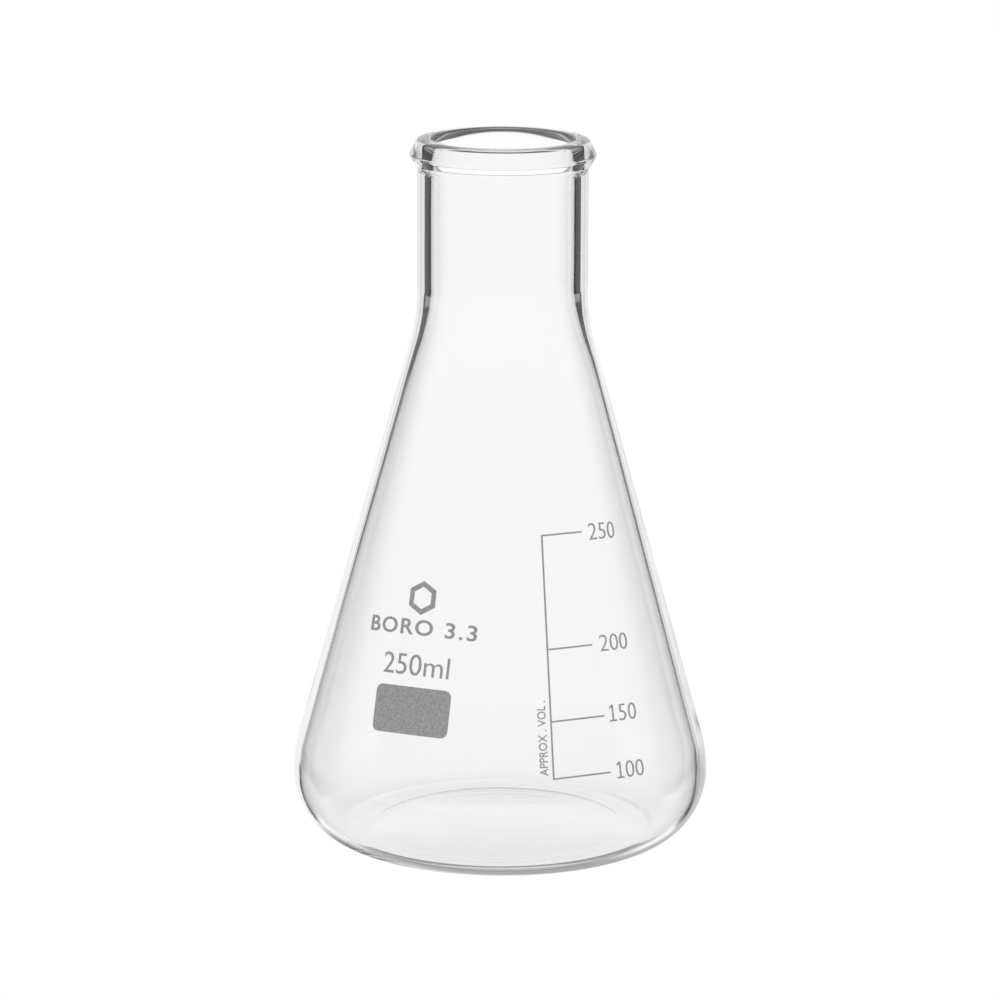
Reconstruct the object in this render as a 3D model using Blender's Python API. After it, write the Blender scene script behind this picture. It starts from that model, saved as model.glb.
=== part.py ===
"""A 250 ml Erlenmeyer flask: one turned glass body and its fired enamel marks.

Metres, +Z up. The origin is the centre of the foot, on the surface that the flask stands on.
The marks face -Y. Every mark is its own solid, laid on the cone with a hair's gap to the glass.
Sizes below are in millimetres and become metres where points are placed.
"""

import math

import bmesh
import bpy

MM = 0.001

# Glass body: outside sizes.
HEIGHT = 144.3
BODY_RADIUS = 42.5
WIDEST_HEIGHT = 13.25
HIP_RADIUS = 27.6
HEEL_POWER = 1.874
INNER_HEEL_POWER = 2.0
FOOT_OUTER_RADIUS = 31.7
FOOT_INNER_RADIUS = 24.9
FOOT_STEP = 0.1
CONE_ANGLE = math.radians(15.56)
SHOULDER_RADIUS = 37.1
NECK_RADIUS = 17.2

# Glass body: wall, which is thicker up the neck, floor and the slight hollow under the floor.
WALL = 1.65
NECK_WALL = 2.75
FLOOR_THICKNESS = 1.25
FLOOR_EDGE_RADIUS = 30.8
PUNT_HEIGHT = 1.0

# Beaded rim: its crown, equator and the root where it meets the neck.
BEAD_CROWN_RADIUS = 17.3
BEAD_CROWN_DROP = 0.7
BEAD_RADIUS = 18.75
BEAD_DROP = 3.25
BEAD_ROOT_DROP = 6.1
MOUTH_RADIUS = 14.5
LIP_TOP_RADIUS = 15.4
LIP_DROP = 1.3
FLARE_RADIUS = 14.8
FLARE_DROP = 4.6
LIP_ROOT_DROP = 6.9

SEGMENTS = 64
ARC_STEP = math.radians(15)
LEAST_ARC_STEPS = 4

# Enamel marks: how they sit on the glass.
ENAMEL_GAP = 0.05
ENAMEL_THICKNESS = 0.1
WRAP_STEP = 1.6

# Each group of marks is drawn on the cone rolled out flat. A point there is (across, up):
# across from the group's own line down the cone, and up the slant from the foot's plane.

# Graduation scale: a leaning line with a tick for each volume.
SCALE_AZIMUTH = 24.3
SCALE_STROKE = 0.34
SCALE_FOOT = (-6.7, 23.2)
SCALE_LEAN = math.radians(3.43)
# Volume: how far up its tick is, where the tick ends, where its numeral starts, and how far up
# the numeral's middle is.
TICKS = {
    "100": (23.2, 5.7, 6.7, 23.45),
    "150": (34.5, 5.7, 6.4, 34.85),
    "200": (48.8, 4.6, 6.2, 48.95),
    "250": (71.4, 5.0, 6.45, 71.3),
}

# Words: (height of a capital, stretch across, room for each letter, stroke's extra width).
# The last is a share of the letter's own size, as are the figure's sizes below.
CAPITAL_HEIGHT = 0.69
LETTER_CURVE_STEPS = 4
LETTER_FINEST_EDGE = 0.012
NUMERAL_STYLE = (3.38, 1.04, 1.0, -0.009)
NOTE_STYLE = (1.65, 0.88, 1.014, 0.012)
CAPACITY_STYLE = (4.2, 1.03, 1.0, -0.002)
GRADE_STYLE = (3.0, 1.2, 1.15, 0.016)

# A figure one with a flag and a foot.
ONE_STROKE = 0.072
ONE_STEM = 0.27
ONE_FOOT = (0.1, 0.44)
ONE_FLAG = (0.12, 0.1)

SCALE_NOTE = "APPROX . VOL ."
SCALE_NOTE_START = (-7.7, 24.0)

# Left-hand group: (across, up) of each mark's middle or, for words, of the middle of the base.
GROUP_AZIMUTH = -23.6
GROUP_MIDDLE = -3.25
CAPACITY = "250ml"
CAPACITY_BASE = 42.7
GLASS_GRADE = "BORO 3.3"
GLASS_GRADE_BASE = 50.8
EMBLEM_RADIUS = 3.4
EMBLEM_WIDTH = 1.15
EMBLEM_MIDDLE = 58.2
SPOT_WIDTH = 17.0
SPOT_HEIGHT = 9.5
SPOT_CORNER = 1.4
SPOT_MIDDLE = 35.65

GLASS_COLOUR = (0.93, 0.95, 0.95, 1.0)
GLASS_IOR = 1.473
ENAMEL_COLOUR = (0.33, 0.33, 0.33, 1.0)


def clear_scene():
    for item in list(bpy.data.objects):
        bpy.data.objects.remove(item)


def make_material(name, colour, roughness, transmission=0.0, ior=1.5):
    """A Principled material; neither glass nor enamel is metallic."""
    material = bpy.data.materials.new(name)
    material.use_nodes = True
    shader = material.node_tree.nodes["Principled BSDF"]
    shader.inputs["Base Color"].default_value = colour
    shader.inputs["Roughness"].default_value = roughness
    shader.inputs["Metallic"].default_value = 0.0
    shader.inputs["Transmission Weight"].default_value = transmission
    shader.inputs["IOR"].default_value = ior
    material.diffuse_color = colour
    return material


def add_object(name, mesh, material):
    mesh.materials.append(material)
    mesh.shade_smooth()
    mesh.set_sharp_from_angle(angle=math.radians(40))
    item = bpy.data.objects.new(name, mesh)
    bpy.context.scene.collection.objects.link(item)
    return item


def arc(centre, radius, start, end):
    """Points on an arc in the (radius, height) plane, from angle start to angle end."""
    steps = max(LEAST_ARC_STEPS, round(abs(end - start) / ARC_STEP))
    angles = [start + (end - start) * step / steps for step in range(steps + 1)]
    return [(centre[0] + radius * math.cos(a), centre[1] + radius * math.sin(a)) for a in angles]


def dome(edge_radius, edge_height, rise):
    """Points from the axis out to the edge of a shallow dome that rises towards the axis."""
    shares = (0.0, 0.35, 0.7, 1.0)
    return [(edge_radius * s, edge_height + rise * (1.0 - s * s)) for s in shares]


def heel(edge_radius, edge_height, side_radius, power):
    """Superellipse points from the floor's edge up to the widest height."""
    steps = 6
    points = []
    for step in range(1, steps):
        angle = math.pi / 2 * step / steps
        across = math.sin(angle) ** (2.0 / power)
        up = 1.0 - math.cos(angle) ** (2.0 / power)
        radius = edge_radius + (side_radius - edge_radius) * across
        points.append((radius, edge_height + (WIDEST_HEIGHT - edge_height) * up))
    return points


def cone_foot(depth):
    """Where the hip's arc runs into the cone, at this depth below the outer surface."""
    radius = BODY_RADIUS - HIP_RADIUS + (HIP_RADIUS - depth) * math.cos(CONE_ANGLE)
    return radius, WIDEST_HEIGHT + (HIP_RADIUS - depth) * math.sin(CONE_ANGLE)


def side(depth, neck_radius):
    """Hip and shoulder points, from bottom to top, at this depth and up to a neck of this radius."""
    hip = arc((BODY_RADIUS - HIP_RADIUS, WIDEST_HEIGHT), HIP_RADIUS - depth, 0.0, CONE_ANGLE)
    foot_radius, foot_height = cone_foot(depth)
    turn_radius = SHOULDER_RADIUS + depth
    centre_radius = neck_radius + turn_radius
    cone_end = centre_radius - turn_radius * math.cos(CONE_ANGLE)
    cone_top = foot_height + (foot_radius - cone_end) / math.tan(CONE_ANGLE)
    centre = (centre_radius, cone_top + turn_radius * math.sin(CONE_ANGLE))
    return hip + arc(centre, turn_radius, math.pi + CONE_ANGLE, math.pi)


def rim():
    """The beaded rim, from the neck's outside over the lip to the neck's bore."""
    drops = [
        (NECK_RADIUS, BEAD_ROOT_DROP + 0.6),
        (NECK_RADIUS + 0.1, BEAD_ROOT_DROP),
        (BEAD_RADIUS - 0.25, BEAD_DROP + 0.85),
        (BEAD_RADIUS, BEAD_DROP),
        (BEAD_RADIUS - 0.25, BEAD_DROP - 0.8),
        (BEAD_CROWN_RADIUS, BEAD_CROWN_DROP),
        (BEAD_CROWN_RADIUS - 0.4, 0.25),
        (BEAD_CROWN_RADIUS - 1.0, 0.0),
        (LIP_TOP_RADIUS, 0.0),
        (MOUTH_RADIUS + 0.25, 0.35),
        (MOUTH_RADIUS, LIP_DROP),
        (FLARE_RADIUS, FLARE_DROP),
        (NECK_RADIUS - NECK_WALL, LIP_ROOT_DROP),
    ]
    return [(radius, HEIGHT - drop) for radius, drop in drops]


def body_outline():
    """The turned section: inside from the axis up, over the lip, and down the outside."""
    inside = dome(FLOOR_EDGE_RADIUS, FLOOR_THICKNESS, PUNT_HEIGHT)
    inside += heel(FLOOR_EDGE_RADIUS, FLOOR_THICKNESS, BODY_RADIUS - WALL, INNER_HEEL_POWER)
    inside += side(WALL, NECK_RADIUS - NECK_WALL)
    outside = dome(FOOT_INNER_RADIUS, FOOT_STEP, PUNT_HEIGHT - FOOT_STEP)
    outside += [(FOOT_INNER_RADIUS + 0.6, 0.0), (FOOT_OUTER_RADIUS, 0.0)]
    outside += heel(FOOT_OUTER_RADIUS, 0.0, BODY_RADIUS, HEEL_POWER)
    outside += side(0.0, NECK_RADIUS)
    outside += rim()
    return inside + outside[::-1]


def build_body(material):
    """Turns the section about Z with a Screw modifier."""
    outline = body_outline()
    mesh = bpy.data.meshes.new("flask_body")
    points = [(radius * MM, 0.0, height * MM) for radius, height in outline]
    edges = [(index, index + 1) for index in range(len(points) - 1)]
    mesh.from_pydata(points, edges, [])
    body = add_object("flask_body", mesh, material)
    turn = body.modifiers.new("turn", "SCREW")
    turn.axis = "Z"
    turn.angle = math.tau
    turn.steps = SEGMENTS
    turn.render_steps = SEGMENTS
    turn.use_merge_vertices = True
    turn.merge_threshold = 0.01 * MM
    turn.use_smooth_shade = True
    return body


def apex_height():
    """Height at which the sides of the cone would meet."""
    foot_radius, foot_height = cone_foot(0.0)
    return foot_height + foot_radius / math.tan(CONE_ANGLE)


def on_cone(azimuth, across, up, depth):
    """Where a point of the rolled-out cone comes to lie, at this depth off the glass.

    The group's own line is at this azimuth, counted from -Y towards +X.
    """
    down = apex_height() / math.cos(CONE_ANGLE) - up
    slant = math.hypot(across, down)
    turn = math.radians(azimuth) + math.atan2(across, down) / math.sin(CONE_ANGLE)
    radius = slant * math.sin(CONE_ANGLE) + depth * math.cos(CONE_ANGLE)
    height = apex_height() - slant * math.cos(CONE_ANGLE) + depth * math.sin(CONE_ANGLE)
    return radius * math.sin(turn) * MM, -radius * math.cos(turn) * MM, height * MM


def add_enamel(name, flat, azimuth, material):
    """Makes a flat drawing into a thin solid on the cone."""
    faces = flat.faces[:]
    lifted = bmesh.ops.extrude_face_region(flat, geom=faces, use_keep_orig=True)["geom"]
    upper = {vert for vert in lifted if isinstance(vert, bmesh.types.BMVert)}
    for vert in flat.verts:
        depth = ENAMEL_GAP + (ENAMEL_THICKNESS if vert in upper else 0.0)
        vert.co = on_cone(azimuth, vert.co.x, vert.co.y, depth)
    bmesh.ops.recalc_face_normals(flat, faces=flat.faces[:])
    mesh = bpy.data.meshes.new(name)
    flat.to_mesh(mesh)
    flat.free()
    return add_object(name, mesh, material)


def slice_across(flat, middle, width, lines):
    """Cuts a flat drawing along upright lines, so that it can bend round the cone."""
    for index in range(1, lines):
        geometry = flat.verts[:] + flat.edges[:] + flat.faces[:]
        place = (middle + width * (index / lines - 0.5), 0.0, 0.0)
        bmesh.ops.bisect_plane(flat, geom=geometry, plane_co=place, plane_no=(1.0, 0.0, 0.0), dist=1e-4)


def build_marking_spot(material):
    """A rounded rectangle to write on."""
    flat = bmesh.new()
    corners = []
    for turn, (across, up) in enumerate(((1, 1), (-1, 1), (-1, -1), (1, -1))):
        centre_x = GROUP_MIDDLE + across * (SPOT_WIDTH / 2 - SPOT_CORNER)
        centre_y = SPOT_MIDDLE + up * (SPOT_HEIGHT / 2 - SPOT_CORNER)
        start = turn * math.pi / 2
        corners += arc((centre_x, centre_y), SPOT_CORNER, start, start + math.pi / 2)
    flat.faces.new([flat.verts.new((x, y, 0.0)) for x, y in corners])
    slice_across(flat, GROUP_MIDDLE, SPOT_WIDTH, round(SPOT_WIDTH / WRAP_STEP))
    add_enamel("marking_spot", flat, GROUP_AZIMUTH, material)


def build_emblem(material):
    """A plain six-sided ring."""
    flat = bmesh.new()
    rings = []
    for radius in (EMBLEM_RADIUS, EMBLEM_RADIUS - EMBLEM_WIDTH):
        turns = [math.tau * (step + 0.5) / 6 for step in range(6)]
        points = [(GROUP_MIDDLE + radius * math.cos(a), EMBLEM_MIDDLE + radius * math.sin(a)) for a in turns]
        rings.append([flat.verts.new((x, y, 0.0)) for x, y in points])
    outer, inner = rings
    for step in range(6):
        after = (step + 1) % 6
        flat.faces.new((outer[step], outer[after], inner[after], inner[step]))
    slice_across(flat, GROUP_MIDDLE, 2 * EMBLEM_RADIUS, 4)
    add_enamel("emblem_hexagon", flat, GROUP_AZIMUTH, material)


def scale_line(up):
    """Across position of the leaning scale line."""
    return SCALE_FOOT[0] + (up - SCALE_FOOT[1]) * math.tan(SCALE_LEAN)


def build_scale(material):
    """The scale line and its ticks, in one piece: a column of cells with a row of cells for each tick."""
    flat = bmesh.new()
    columns = 8
    half = SCALE_STROKE / 2
    grid = []
    for up, end, _, _ in TICKS.values():
        for edge in (up - half, up + half):
            left, start = scale_line(edge) - half, scale_line(edge) + half
            spots = [left] + [start + (end - start) * step / columns for step in range(columns + 1)]
            grid.append([flat.verts.new((x, edge, 0.0)) for x in spots])
    for row in range(len(grid) - 1):
        is_tick = row % 2 == 0
        for column in range(columns + 1 if is_tick else 1):
            lower, upper = grid[row], grid[row + 1]
            flat.faces.new((lower[column], lower[column + 1], upper[column + 1], upper[column]))
    add_enamel("graduation_scale", flat, SCALE_AZIMUTH, material)


def flat_text(words, room, extra):
    """The words as a flat drawing in Blender's own font, in units of the font's size."""
    curve = bpy.data.curves.new(words, "FONT")
    curve.body = words
    curve.resolution_u = LETTER_CURVE_STEPS
    curve.space_character = room
    curve.offset = extra
    item = bpy.data.objects.new(words, curve)
    bpy.context.scene.collection.objects.link(item)
    bpy.context.view_layer.update()
    flat = bmesh.new()
    flat.from_mesh(item.to_mesh())
    item.to_mesh_clear()
    bpy.data.objects.remove(item)
    bmesh.ops.remove_doubles(flat, verts=flat.verts[:], dist=LETTER_FINEST_EDGE)
    return flat


def islands(flat):
    """The separate letters of a flat text, from left to right, as lists of faces."""
    left = set(flat.faces)
    found = []
    while left:
        island = []
        reached = [left.pop()]
        while reached:
            face = reached.pop()
            island.append(face)
            near = {other for edge in face.edges for other in edge.link_faces} & left
            left -= near
            reached += near
        found.append(island)
    return sorted(found, key=lambda island: min(v.co.x for face in island for v in face.verts))


def island_mesh(island):
    """A copy of one letter as its own flat drawing."""
    flat = bmesh.new()
    copies = {}
    for face in island:
        for vert in face.verts:
            if vert not in copies:
                copies[vert] = flat.verts.new(vert.co)
        flat.faces.new([copies[vert] for vert in face.verts])
    return flat


def figure_one():
    """The figure one, in units of the font's size."""
    stroke = ONE_STROKE
    left, right = ONE_STEM - stroke / 2, ONE_STEM + stroke / 2
    foot_left, foot_right = ONE_FOOT
    flag_left, flag_drop = ONE_FLAG
    flag_top = CAPITAL_HEIGHT - flag_drop
    outline = [
        (foot_left, 0.0),
        (foot_right, 0.0),
        (foot_right, stroke),
        (right, stroke),
        (right, CAPITAL_HEIGHT),
        (left, CAPITAL_HEIGHT),
        (flag_left, flag_top),
        (flag_left, flag_top - stroke),
        (left, CAPITAL_HEIGHT - 1.3 * stroke),
        (left, stroke),
        (foot_left, stroke),
    ]
    flat = bmesh.new()
    flat.faces.new([flat.verts.new((x, y, 0.0)) for x, y in outline])
    flat.normal_update()
    bmesh.ops.triangulate(flat, faces=flat.faces[:])
    return flat


def build_text(name, words, style, start, lean, azimuth, material):
    """One enamel solid for each letter, along a line that starts here and rises by the angle lean."""
    height, stretch, room, extra = style
    size = height / CAPITAL_HEIGHT
    source = flat_text(words, room, extra)
    letters = words.replace(" ", "")
    for index, island in enumerate(islands(source)):
        letter = letters[index]
        flat = figure_one() if letter == "1" else island_mesh(island)
        for vert in flat.verts:
            x, y = vert.co.x * size * stretch, vert.co.y * size
            across = start[0] + x * math.cos(lean) - y * math.sin(lean)
            vert.co = (across, start[1] + x * math.sin(lean) + y * math.cos(lean), 0.0)
        part_name = f"{name}_{index + 1}_{letter}".replace(".", "point")
        add_enamel(part_name, flat, azimuth, material)
    source.free()


def build_numerals(material):
    """The volume beside each tick."""
    for volume, (_, _, start, middle) in TICKS.items():
        base = middle - NUMERAL_STYLE[0] / 2
        name = "numeral_" + volume
        build_text(name, volume, NUMERAL_STYLE, (start, base), 0.0, SCALE_AZIMUTH, material)


def build_scale_note(material):
    """The small note that reads upwards beside the scale line."""
    lean = math.pi / 2 - SCALE_LEAN
    build_text("note", SCALE_NOTE, NOTE_STYLE, SCALE_NOTE_START, lean, SCALE_AZIMUTH, material)


def word_width(words, style):
    source = flat_text(words, *style[2:])
    width = max(vert.co.x for vert in source.verts) + min(vert.co.x for vert in source.verts)
    source.free()
    return width * style[1] * style[0] / CAPITAL_HEIGHT


def build_left_words(material):
    """The capacity, and a generic name of the glass above it, both centred."""
    rows = (
        ("capacity", CAPACITY, CAPACITY_STYLE, CAPACITY_BASE),
        ("grade", GLASS_GRADE, GRADE_STYLE, GLASS_GRADE_BASE),
    )
    for name, words, style, base in rows:
        start = (GROUP_MIDDLE - word_width(words, style) / 2, base)
        build_text(name, words, style, start, 0.0, GROUP_AZIMUTH, material)


def main():
    clear_scene()
    glass = make_material("glass", GLASS_COLOUR, 0.02, transmission=1.0, ior=GLASS_IOR)
    enamel = make_material("enamel", ENAMEL_COLOUR, 0.6)
    build_body(glass)
    build_scale(enamel)
    build_numerals(enamel)
    build_scale_note(enamel)
    build_left_words(enamel)
    build_emblem(enamel)
    build_marking_spot(enamel)


main()
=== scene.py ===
import math

import bmesh
import bpy
import numpy as np
from mathutils import Euler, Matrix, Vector, noise


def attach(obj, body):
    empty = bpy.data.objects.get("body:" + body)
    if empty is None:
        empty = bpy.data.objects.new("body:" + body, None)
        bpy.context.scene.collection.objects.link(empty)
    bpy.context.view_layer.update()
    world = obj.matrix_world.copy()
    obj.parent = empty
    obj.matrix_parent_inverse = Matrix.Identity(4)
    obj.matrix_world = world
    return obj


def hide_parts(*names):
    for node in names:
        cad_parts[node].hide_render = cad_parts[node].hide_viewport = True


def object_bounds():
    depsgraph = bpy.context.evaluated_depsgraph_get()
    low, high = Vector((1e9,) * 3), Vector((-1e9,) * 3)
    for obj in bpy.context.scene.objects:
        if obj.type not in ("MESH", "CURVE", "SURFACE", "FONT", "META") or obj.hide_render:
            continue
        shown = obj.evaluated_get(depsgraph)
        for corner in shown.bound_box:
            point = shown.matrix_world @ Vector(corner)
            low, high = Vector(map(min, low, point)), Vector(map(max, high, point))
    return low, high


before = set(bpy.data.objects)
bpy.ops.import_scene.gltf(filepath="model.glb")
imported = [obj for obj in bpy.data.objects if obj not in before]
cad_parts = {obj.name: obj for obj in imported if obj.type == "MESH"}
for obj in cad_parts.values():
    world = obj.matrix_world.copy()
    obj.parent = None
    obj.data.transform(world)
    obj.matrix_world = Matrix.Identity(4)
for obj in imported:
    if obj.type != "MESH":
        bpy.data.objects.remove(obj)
cad_low, cad_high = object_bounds()

MM = 0.001

# Glass body, in millimetres. These repeat the CAD body's driving sizes.
HEIGHT = (cad_high.z - cad_low.z) / MM
BODY_RADIUS = (cad_high.x - cad_low.x) / 2 / MM
WIDEST_HEIGHT = 13.25
HIP_RADIUS = 27.6
HEEL_POWER = 1.874
INNER_HEEL_POWER = 2.0
FOOT_OUTER_RADIUS = 31.7
FOOT_INNER_RADIUS = 24.9
CONE_ANGLE = math.radians(15.56)
SHOULDER_RADIUS = 37.1
NECK_RADIUS = 17.2
NECK_WALL = 2.75
BORE_RADIUS = NECK_RADIUS - NECK_WALL
MOUTH_RADIUS = 14.45
WALL = 1.65
FLOOR_THICKNESS = 1.25
FLOOR_EDGE_RADIUS = 30.8
PUNT_HEIGHT = 1.0
# The small step from the hollow under the foot down to the ring that the flask stands on, and the
# distance from the hollow to the ring's first loop of flat faces.
RING_STEP = 0.1
RING_STEP_WIDTH = 0.6
RING_LOOP = 1.0

# Corners of the beaded rim's section, from the neck's outside over the lip to the neck's bore:
# (radius, depth below the top, fillet radius).
RIM_CORNERS = (
    (NECK_RADIUS, 9.0, 0.0),
    (NECK_RADIUS, 6.15, 0.9),
    (18.9, 3.35, 1.1),
    (17.35, 0.35, 0.9),
    (16.0, 0.0, 2.0),
    (MOUTH_RADIUS, 0.0, 0.5),
    (MOUTH_RADIUS, 1.9, 1.6),
    (14.8, 4.6, 2.0),
    (BORE_RADIUS, 6.9, 2.0),
    (BORE_RADIUS, 9.0, 0.0),
)

# The rest of the body's sizes are the visual model's own, because the bore of blown glass isn't
# quite true. It turns more tightly under the neck, and it isn't quite centred: each pair is a height
# and the shift along X there.
INNER_SHOULDER_RADIUS = 18.0
BORE_SHIFTS = (
    (0.0, -0.4),
    (25.0, -0.25),
    (60.0, -0.05),
    (88.0, 0.25),
    (100.0, 0.32),
    (108.0, 0.15),
    (114.0, -0.05),
    (144.3, -0.1),
)
# Slow ripples in the bore: their size, how many go round it, and their length along it.
RIPPLE = 0.03
RIPPLE_TURNS = 1.3
RIPPLE_LENGTH = 28.0
# A ring where the wall is thicker, as the neck turns into the cone: its size, height and spread.
SWELL = 0.36
SWELL_HEIGHT = 105.0
SWELL_SPREAD = 5.2
# The shifts and ripples fade out over this distance below the top.
FADE_DEPTH = 7.0

# How finely the section and the turned body are divided.
SEGMENTS = 160
DOME_STEPS = 16
HEEL_STEPS = 28
HIP_STEPS = 10
CONE_STEPS = 16
SHOULDER_STEPS = 14
FILLET_STEP = math.radians(9.0)
LEAST_FILLET_STEPS = 3
LONGEST_STEP = 2.0
SAME_POINT = 1e-4

# Materials. The waves and the grain are noise in object coordinates, and the greys are linear.
GLASS_TINT = (0.992, 0.994, 0.994, 1.0)
GLASS_IOR = 1.473
WAVE_SCALE = 70.0
WAVE_DETAIL = 1.0
WAVE_DEPTH = 0.02 * MM
GRAIN_SCALE = 2200.0
GRAIN_DETAIL = 3.0
ENAMEL_TONES = ((0.3, 0.225), (0.75, 0.36))
ENAMEL_ROUGHNESS = 0.7

# The stage, in metres, and the camera. Its angles are in degrees: how far it looks down, and its roll.
FLOOR_RADIUS = 0.36
FLOOR_SEGMENTS = 96
FLOOR_GAP = 0.0001
LENS = 172.2
SENSOR_WIDTH = 36.0
FAR_CLIP = 20.0
CAMERA_PLACE = (-0.0003, -0.9503, 0.2884)
CAMERA_DOWN = 12.957
CAMERA_ROLL = 0.27
BOUNCES = 256

# Brightness of each part of the studio that the glass sees.
TABLE = 1.0
GAP = 0.12
LOW_BACKDROP = 1.05
BACKDROP = 1.08
PANEL = 0.9
RIGHT_PANEL = 0.55
SIDE_PANEL = 0.3
ROOM = 0.045
HIGH_ROOM = 0.3
FAR_TABLE = 1.0
NEAR_TABLE = 0.48
SHADOW = 0.25
LOW_GAP = 0.42

# Where the parts of the studio are, in degrees. A pair is the start and end of a soft change. A set of
# bands is the value for the lowest directions, then (start, end, value) for each change further up.
THROUGH_MIDDLE = (TABLE, (-44.0, -42.0, GAP), (-29.0, -27.0, LOW_BACKDROP), (-14.0, -8.0, BACKDROP))
THROUGH_ASIDE = (TABLE, (-33.0, -30.0, LOW_BACKDROP), (-14.0, -8.0, BACKDROP))
GAP_EDGE = (17.0, 27.0)
PANEL_WIDTH = (21.5, (-27.0, -17.0, 27.5), (-13.0, -11.5, 30.5), (-8.0, -6.0, 29.5))
PANEL_EDGE = (-1.0, 1.0)
RIGHT_TURN = (4.0, 12.0)
RIGHT_TOP = (-13.0, -11.0)
RIGHT_EXTRA_WIDTH = 4.0
BEYOND = (HIGH_ROOM, (-13.0, -11.5, ROOM), (-8.0, -6.0, HIGH_ROOM), (-1.0, 1.5, ROOM))
BEYOND_EDGE = (33.0, 38.0)
SIDE_CENTRE = 90.0
SIDE_EDGE = (12.0, 20.0)
LOW_ASIDE = (NEAR_TABLE, (-48.0, -42.0, FAR_TABLE))
LOW_ASIDE_EDGE = (34.0, 44.0)
LOW_MIDDLE = (NEAR_TABLE, (-54.0, -51.0, SHADOW), (-49.0, -46.0, LOW_GAP))
LOW_MIDDLE_EDGE = (16.0, 30.0)
WALLS_TOP = (14.0, 30.0)
WALLS_FOOT = (-30.0, -26.0)


def arc(centre, radius, start, end, steps):
    """Points on an arc in the (radius, height) plane, from angle start to angle end."""
    angles = [start + (end - start) * step / steps for step in range(steps + 1)]
    return [(centre[0] + radius * math.cos(a), centre[1] + radius * math.sin(a)) for a in angles]


def dome(edge_radius, edge_height, rise):
    """The hollow foot or the floor, from its middle out to its edge."""
    shares = [step / DOME_STEPS for step in range(DOME_STEPS + 1)]
    return [(edge_radius * s, edge_height + rise * (1.0 - s * s)) for s in shares]


def heel(edge_radius, edge_height, side_radius, power):
    """The quarter of a superellipse from the foot or the floor up to the widest height."""
    points = []
    for step in range(1, HEEL_STEPS):
        angle = math.pi / 2 * step / HEEL_STEPS
        across = math.sin(angle) ** (2.0 / power)
        up = 1.0 - math.cos(angle) ** (2.0 / power)
        radius = edge_radius + (side_radius - edge_radius) * across
        points.append((radius, edge_height + (WIDEST_HEIGHT - edge_height) * up))
    return points


def between(start, end, share):
    return start[0] + (end[0] - start[0]) * share, start[1] + (end[1] - start[1]) * share


def line(start, end, steps):
    """Points strictly between two ends, crowded towards both."""
    shares = [(1.0 - math.cos(math.pi * step / steps)) / 2 for step in range(1, steps)]
    return [between(start, end, share) for share in shares]


def side(depth, neck_radius, shoulder_radius):
    """The hip, the cone and the shoulder, at this depth below the outer surface."""
    hip_centre = (BODY_RADIUS - HIP_RADIUS, WIDEST_HEIGHT)
    hip = arc(hip_centre, HIP_RADIUS - depth, 0.0, CONE_ANGLE, HIP_STEPS)
    foot_radius, foot_height = hip[-1]
    turn_radius = shoulder_radius + depth
    centre_radius = neck_radius + turn_radius
    cone_end = centre_radius - turn_radius * math.cos(CONE_ANGLE)
    cone_top = foot_height + (foot_radius - cone_end) / math.tan(CONE_ANGLE)
    centre = (centre_radius, cone_top + turn_radius * math.sin(CONE_ANGLE))
    shoulder = arc(centre, turn_radius, math.pi + CONE_ANGLE, math.pi, SHOULDER_STEPS)
    return hip + line(hip[-1], shoulder[0], CONE_STEPS) + shoulder


def rounded(corners):
    """A path through corners (radius, height, fillet radius), each corner an arc."""
    points = [Vector(corners[0][:2])]
    for before, corner, after in zip(corners, corners[1:], corners[2:]):
        here = Vector(corner[:2])
        back = (Vector(before[:2]) - here).normalized()
        ahead = (Vector(after[:2]) - here).normalized()
        half = math.acos(max(-1.0, min(1.0, back.dot(ahead)))) / 2
        reach = corner[2] / math.tan(half)
        centre = here + (back + ahead).normalized() * (corner[2] / math.sin(half))
        first = here + back * reach - centre
        turn = math.pi - 2 * half
        if back.cross(ahead) > 0:
            turn = -turn
        steps = max(LEAST_FILLET_STEPS, round(abs(turn) / FILLET_STEP))
        for step in range(steps + 1):
            angle = turn * step / steps
            c, s = math.cos(angle), math.sin(angle)
            points.append(centre + Vector((first.x * c - first.y * s, first.x * s + first.y * c)))
    points.append(Vector(corners[-1][:2]))
    return [tuple(point) for point in points]


def rim():
    return rounded([(radius, HEIGHT - drop, fillet) for radius, drop, fillet in RIM_CORNERS])


def resample(points):
    """Adds points so that no step is longer than LONGEST_STEP, and drops repeated ones."""
    out = [points[0]]
    for point in points[1:]:
        last = out[-1]
        gap = math.dist(last, point)
        if gap < SAME_POINT:
            continue
        parts = math.ceil(gap / LONGEST_STEP)
        out += [between(last, point, part / parts) for part in range(1, parts + 1)]
    return out


def body_outline():
    """The body's section, from the floor's middle up inside, over the lip and down to the foot."""
    inside = dome(FLOOR_EDGE_RADIUS, FLOOR_THICKNESS, PUNT_HEIGHT)
    inside += heel(FLOOR_EDGE_RADIUS, FLOOR_THICKNESS, BODY_RADIUS - WALL, INNER_HEEL_POWER)
    inside += side(WALL, BORE_RADIUS, INNER_SHOULDER_RADIUS)
    outside = dome(FOOT_INNER_RADIUS, RING_STEP, PUNT_HEIGHT - RING_STEP)
    outside.append((FOOT_INNER_RADIUS + RING_STEP_WIDTH / 2, RING_STEP / 2))
    outside.append((FOOT_INNER_RADIUS + RING_STEP_WIDTH, 0.0))
    outside.append((FOOT_INNER_RADIUS + RING_LOOP, 0.0))
    outside.append((FOOT_OUTER_RADIUS, 0.0))
    outside += heel(FOOT_OUTER_RADIUS, 0.0, BODY_RADIUS, HEEL_POWER)
    outside += side(0.0, NECK_RADIUS, SHOULDER_RADIUS)
    outside += rim()
    return resample(inside + outside[::-1])


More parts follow.
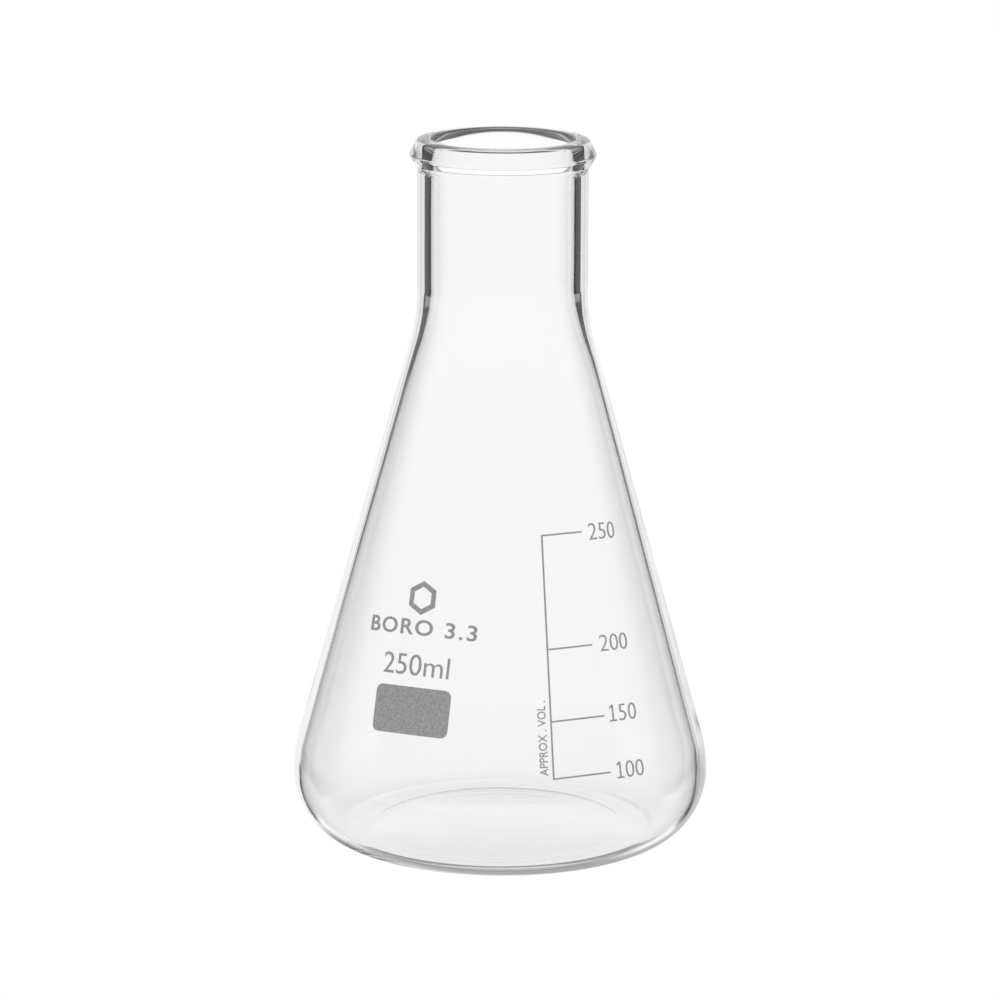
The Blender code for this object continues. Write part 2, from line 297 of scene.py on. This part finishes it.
def bore_offset(angle, height):
    """How far a point of the inner surface is from a true turned shape: (along X, outwards)."""
    heights, shifts = zip(*BORE_SHIFTS)
    shift = float(np.interp(height, heights, shifts))
    spot = Vector((RIPPLE_TURNS * math.cos(angle), RIPPLE_TURNS * math.sin(angle), height / RIPPLE_LENGTH))
    swell = RIPPLE * noise.noise(spot)
    swell -= SWELL * math.exp(-(((height - SWELL_HEIGHT) / SWELL_SPREAD) ** 2))
    share = min(1.0, (HEIGHT - height) / FADE_DEPTH) ** 2
    return shift * share, swell * share


def lathe(name, outline):
    """Turns an outline that starts on the axis inside, goes over the lip and ends on the axis below."""
    middle = outline[1:-1]
    rings = len(middle)
    lip = max(range(rings), key=lambda ring: middle[ring][1])
    turns = [math.tau * step / SEGMENTS for step in range(SEGMENTS)]
    verts = [(0.0, 0.0, outline[0][1] * MM)]
    for ring, (radius, height) in enumerate(middle):
        for angle in turns:
            shift, swell = bore_offset(angle, height) if ring < lip else (0.0, 0.0)
            shift *= min(1.0, radius / FLOOR_EDGE_RADIUS)
            x = (radius + swell) * math.cos(angle) + shift
            y = (radius + swell) * math.sin(angle)
            verts.append((x * MM, y * MM, height * MM))
    verts.append((0.0, 0.0, outline[-1][1] * MM))
    last = len(verts) - 1
    faces = []
    for step in range(SEGMENTS):
        after = (step + 1) % SEGMENTS
        faces.append((0, 1 + step, 1 + after))
        for ring in range(rings - 1):
            low, high = 1 + ring * SEGMENTS, 1 + (ring + 1) * SEGMENTS
            faces.append((low + step, high + step, high + after, low + after))
        low = 1 + (rings - 1) * SEGMENTS
        faces.append((low + step, last, low + after))
    mesh = bpy.data.meshes.new(name)
    mesh.from_pydata(verts, [], faces)
    mesh.validate()
    mesh.shade_smooth()
    item = bpy.data.objects.new(name, mesh)
    bpy.context.scene.collection.objects.link(item)
    return item


def new_material(name):
    material = bpy.data.materials.new(name)
    material.use_nodes = True
    return material, material.node_tree.nodes["Principled BSDF"]


def object_noise(tree, scale, detail):
    """A noise texture's value, in object coordinates."""
    place = tree.nodes.new("ShaderNodeTexCoord")
    texture = tree.nodes.new("ShaderNodeTexNoise")
    texture.inputs["Scale"].default_value = scale
    texture.inputs["Detail"].default_value = detail
    tree.links.new(place.outputs["Object"], texture.inputs["Vector"])
    return texture.outputs["Fac"]


def glass_material():
    """Clear glass, with the faint waves that blowing leaves in its surface."""
    material, shader = new_material("glass")
    shader.inputs["Base Color"].default_value = GLASS_TINT
    shader.inputs["Roughness"].default_value = 0.0
    shader.inputs["IOR"].default_value = GLASS_IOR
    shader.inputs["Transmission Weight"].default_value = 1.0
    tree = material.node_tree
    bump = tree.nodes.new("ShaderNodeBump")
    bump.inputs["Distance"].default_value = WAVE_DEPTH
    tree.links.new(object_noise(tree, WAVE_SCALE, WAVE_DETAIL), bump.inputs["Height"])
    tree.links.new(bump.outputs["Normal"], shader.inputs["Normal"])
    return material


def enamel_material():
    """Fired grey enamel, matt and slightly mottled."""
    material, shader = new_material("enamel")
    shader.inputs["Roughness"].default_value = ENAMEL_ROUGHNESS
    tree = material.node_tree
    ramp = tree.nodes.new("ShaderNodeValToRGB")
    for stop, (position, grey) in zip(ramp.color_ramp.elements, ENAMEL_TONES):
        stop.position = position
        stop.color = (grey, grey, grey, 1.0)
    tree.links.new(object_noise(tree, GRAIN_SCALE, GRAIN_DETAIL), ramp.inputs["Fac"])
    tree.links.new(ramp.outputs["Color"], shader.inputs["Base Color"])
    return material


def floor_material():
    """A plain lit surface."""
    material, shader = new_material("floor")
    shader.inputs["Base Color"].default_value = (0.0, 0.0, 0.0, 1.0)
    shader.inputs["Roughness"].default_value = 1.0
    shader.inputs["Specular IOR Level"].default_value = 0.0
    shader.inputs["Emission Color"].default_value = (1.0, 1.0, 1.0, 1.0)
    shader.inputs["Emission Strength"].default_value = 1.0
    return material


def build_floor():
    """A white light table. The world stands for it in what the glass refracts."""
    mesh = bpy.data.meshes.new("floor")
    shape = bmesh.new()
    bmesh.ops.create_circle(shape, cap_ends=True, radius=FLOOR_RADIUS, segments=FLOOR_SEGMENTS)
    shape.to_mesh(mesh)
    shape.free()
    floor = bpy.data.objects.new("floor", mesh)
    floor.location.z = cad_low.z - FLOOR_GAP
    floor.visible_diffuse = False
    floor.visible_glossy = False
    floor.visible_transmission = False
    floor.visible_shadow = False
    bpy.context.scene.collection.objects.link(floor)
    mesh.materials.append(floor_material())


class Sky:
    """Builds the world's nodes: directions in degrees, and soft steps between values."""

    def __init__(self, tree):
        self.nodes = tree.nodes
        self.links = tree.links
        place = self.nodes.new("ShaderNodeTexCoord")
        split = self.nodes.new("ShaderNodeSeparateXYZ")
        self.links.new(place.outputs["Generated"], split.inputs["Vector"])
        turn = self.math("ARCTAN2", split.outputs["X"], split.outputs["Y"])
        self.turn = self.math("MULTIPLY", turn, math.degrees(1.0))
        self.off_centre = self.math("ABSOLUTE", self.turn)
        rise = self.math("ARCSINE", split.outputs["Z"])
        self.rise = self.math("MULTIPLY", rise, math.degrees(1.0))

    def put(self, value, socket):
        """Sets a socket to a number, or links it to another node's output."""
        if isinstance(value, (int, float)):
            socket.default_value = value
        else:
            self.links.new(value, socket)

    def math(self, operation, *values):
        node = self.nodes.new("ShaderNodeMath")
        node.operation = operation
        for socket, value in zip(node.inputs, values):
            self.put(value, socket)
        return node.outputs[0]

    def step(self, value, low, high, before, after):
        """Goes softly from before to after while the value goes from low to high."""
        node = self.nodes.new("ShaderNodeMapRange")
        node.interpolation_type = "SMOOTHSTEP"
        self.put(value, node.inputs["Value"])
        self.put(low, node.inputs["From Min"])
        self.put(high, node.inputs["From Max"])
        self.put(before, node.inputs["To Min"])
        self.put(after, node.inputs["To Max"])
        return node.outputs["Result"]

    def bands(self, first, *steps):
        """A value that changes as the direction rises past each step: (start, end, value)."""
        level = first
        for low, high, after in steps:
            level = self.step(self.rise, low, high, level, after)
        return level

    def mix(self, share, first, second):
        node = self.nodes.new("ShaderNodeMix")
        node.data_type = "FLOAT"
        self.put(share, node.inputs["Factor"])
        self.put(first, node.inputs["A"])
        self.put(second, node.inputs["B"])
        return node.outputs["Result"]


def seen_through(sky):
    """What straight-through light sees: bright all round, with a dark gap low behind the flask."""
    middle = sky.bands(*THROUGH_MIDDLE)
    aside = sky.bands(*THROUGH_ASIDE)
    return sky.step(sky.off_centre, *GAP_EDGE, middle, aside)


def seen_aside(sky):
    """What light thrown aside in the wall sees: a backdrop of limited width, side panels, a dark room."""
    right = sky.step(sky.turn, *RIGHT_TURN, 0.0, 1.0)
    right = sky.step(sky.rise, *RIGHT_TOP, right, 0.0)
    width = sky.math("MULTIPLY_ADD", right, RIGHT_EXTRA_WIDTH, sky.bands(*PANEL_WIDTH))
    level = sky.mix(right, PANEL, RIGHT_PANEL)
    panel = sky.step(sky.math("SUBTRACT", sky.off_centre, width), *PANEL_EDGE, level, ROOM)
    panel = sky.step(sky.off_centre, *BEYOND_EDGE, panel, sky.bands(*BEYOND))
    from_side = sky.math("ABSOLUTE", sky.math("SUBTRACT", sky.off_centre, SIDE_CENTRE))
    side_panel = sky.step(from_side, *SIDE_EDGE, SIDE_PANEL, 0.0)
    walls = sky.math("MAXIMUM", panel, side_panel)
    low_aside = sky.step(sky.off_centre, *LOW_ASIDE_EDGE, sky.bands(*LOW_ASIDE), NEAR_TABLE)
    low = sky.step(sky.off_centre, *LOW_MIDDLE_EDGE, sky.bands(*LOW_MIDDLE), low_aside)
    above = sky.step(sky.rise, *WALLS_TOP, walls, ROOM)
    return sky.step(sky.rise, *WALLS_FOOT, low, above)


def build_world():
    """White where the camera sees it directly. The glass sees the studio instead."""
    world = bpy.data.worlds.new("studio")
    bpy.context.scene.world = world
    world.use_nodes = True
    tree = world.node_tree
    tree.nodes.clear()
    sky = Sky(tree)
    path = tree.nodes.new("ShaderNodeLightPath")
    aside = sky.math("GREATER_THAN", path.outputs["Glossy Depth"], 0.5)
    glass_sees = sky.mix(aside, seen_through(sky), seen_aside(sky))
    shown = sky.mix(path.outputs["Is Camera Ray"], glass_sees, 1.0)
    back = tree.nodes.new("ShaderNodeBackground")
    back.inputs["Color"].default_value = (1.0, 1.0, 1.0, 1.0)
    tree.links.new(shown, back.inputs["Strength"])
    out = tree.nodes.new("ShaderNodeOutputWorld")
    tree.links.new(back.outputs["Background"], out.inputs["Surface"])


def build_camera():
    data = bpy.data.cameras.new("camera")
    data.lens = LENS
    data.sensor_width = SENSOR_WIDTH
    data.clip_end = FAR_CLIP
    camera = bpy.data.objects.new("camera", data)
    camera.location = CAMERA_PLACE
    camera.rotation_euler = Euler((math.radians(90.0 - CAMERA_DOWN), 0.0, 0.0))
    camera.rotation_euler.rotate_axis("Z", math.radians(CAMERA_ROLL))
    bpy.context.scene.collection.objects.link(camera)
    bpy.context.scene.camera = camera


glass = lathe("flask_glass", body_outline())
glass.data.materials.append(glass_material())
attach(glass, "root")
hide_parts("flask_body")

enamel = enamel_material()
for name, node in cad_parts.items():
    if name != "flask_body":
        node.data.materials.clear()
        node.data.materials.append(enamel)

build_floor()
build_world()
build_camera()
scene = bpy.context.scene
scene.view_settings.view_transform = "Standard"
scene.cycles.max_bounces = BOUNCES
scene.cycles.transmission_bounces = BOUNCES
scene.cycles.glossy_bounces = BOUNCES
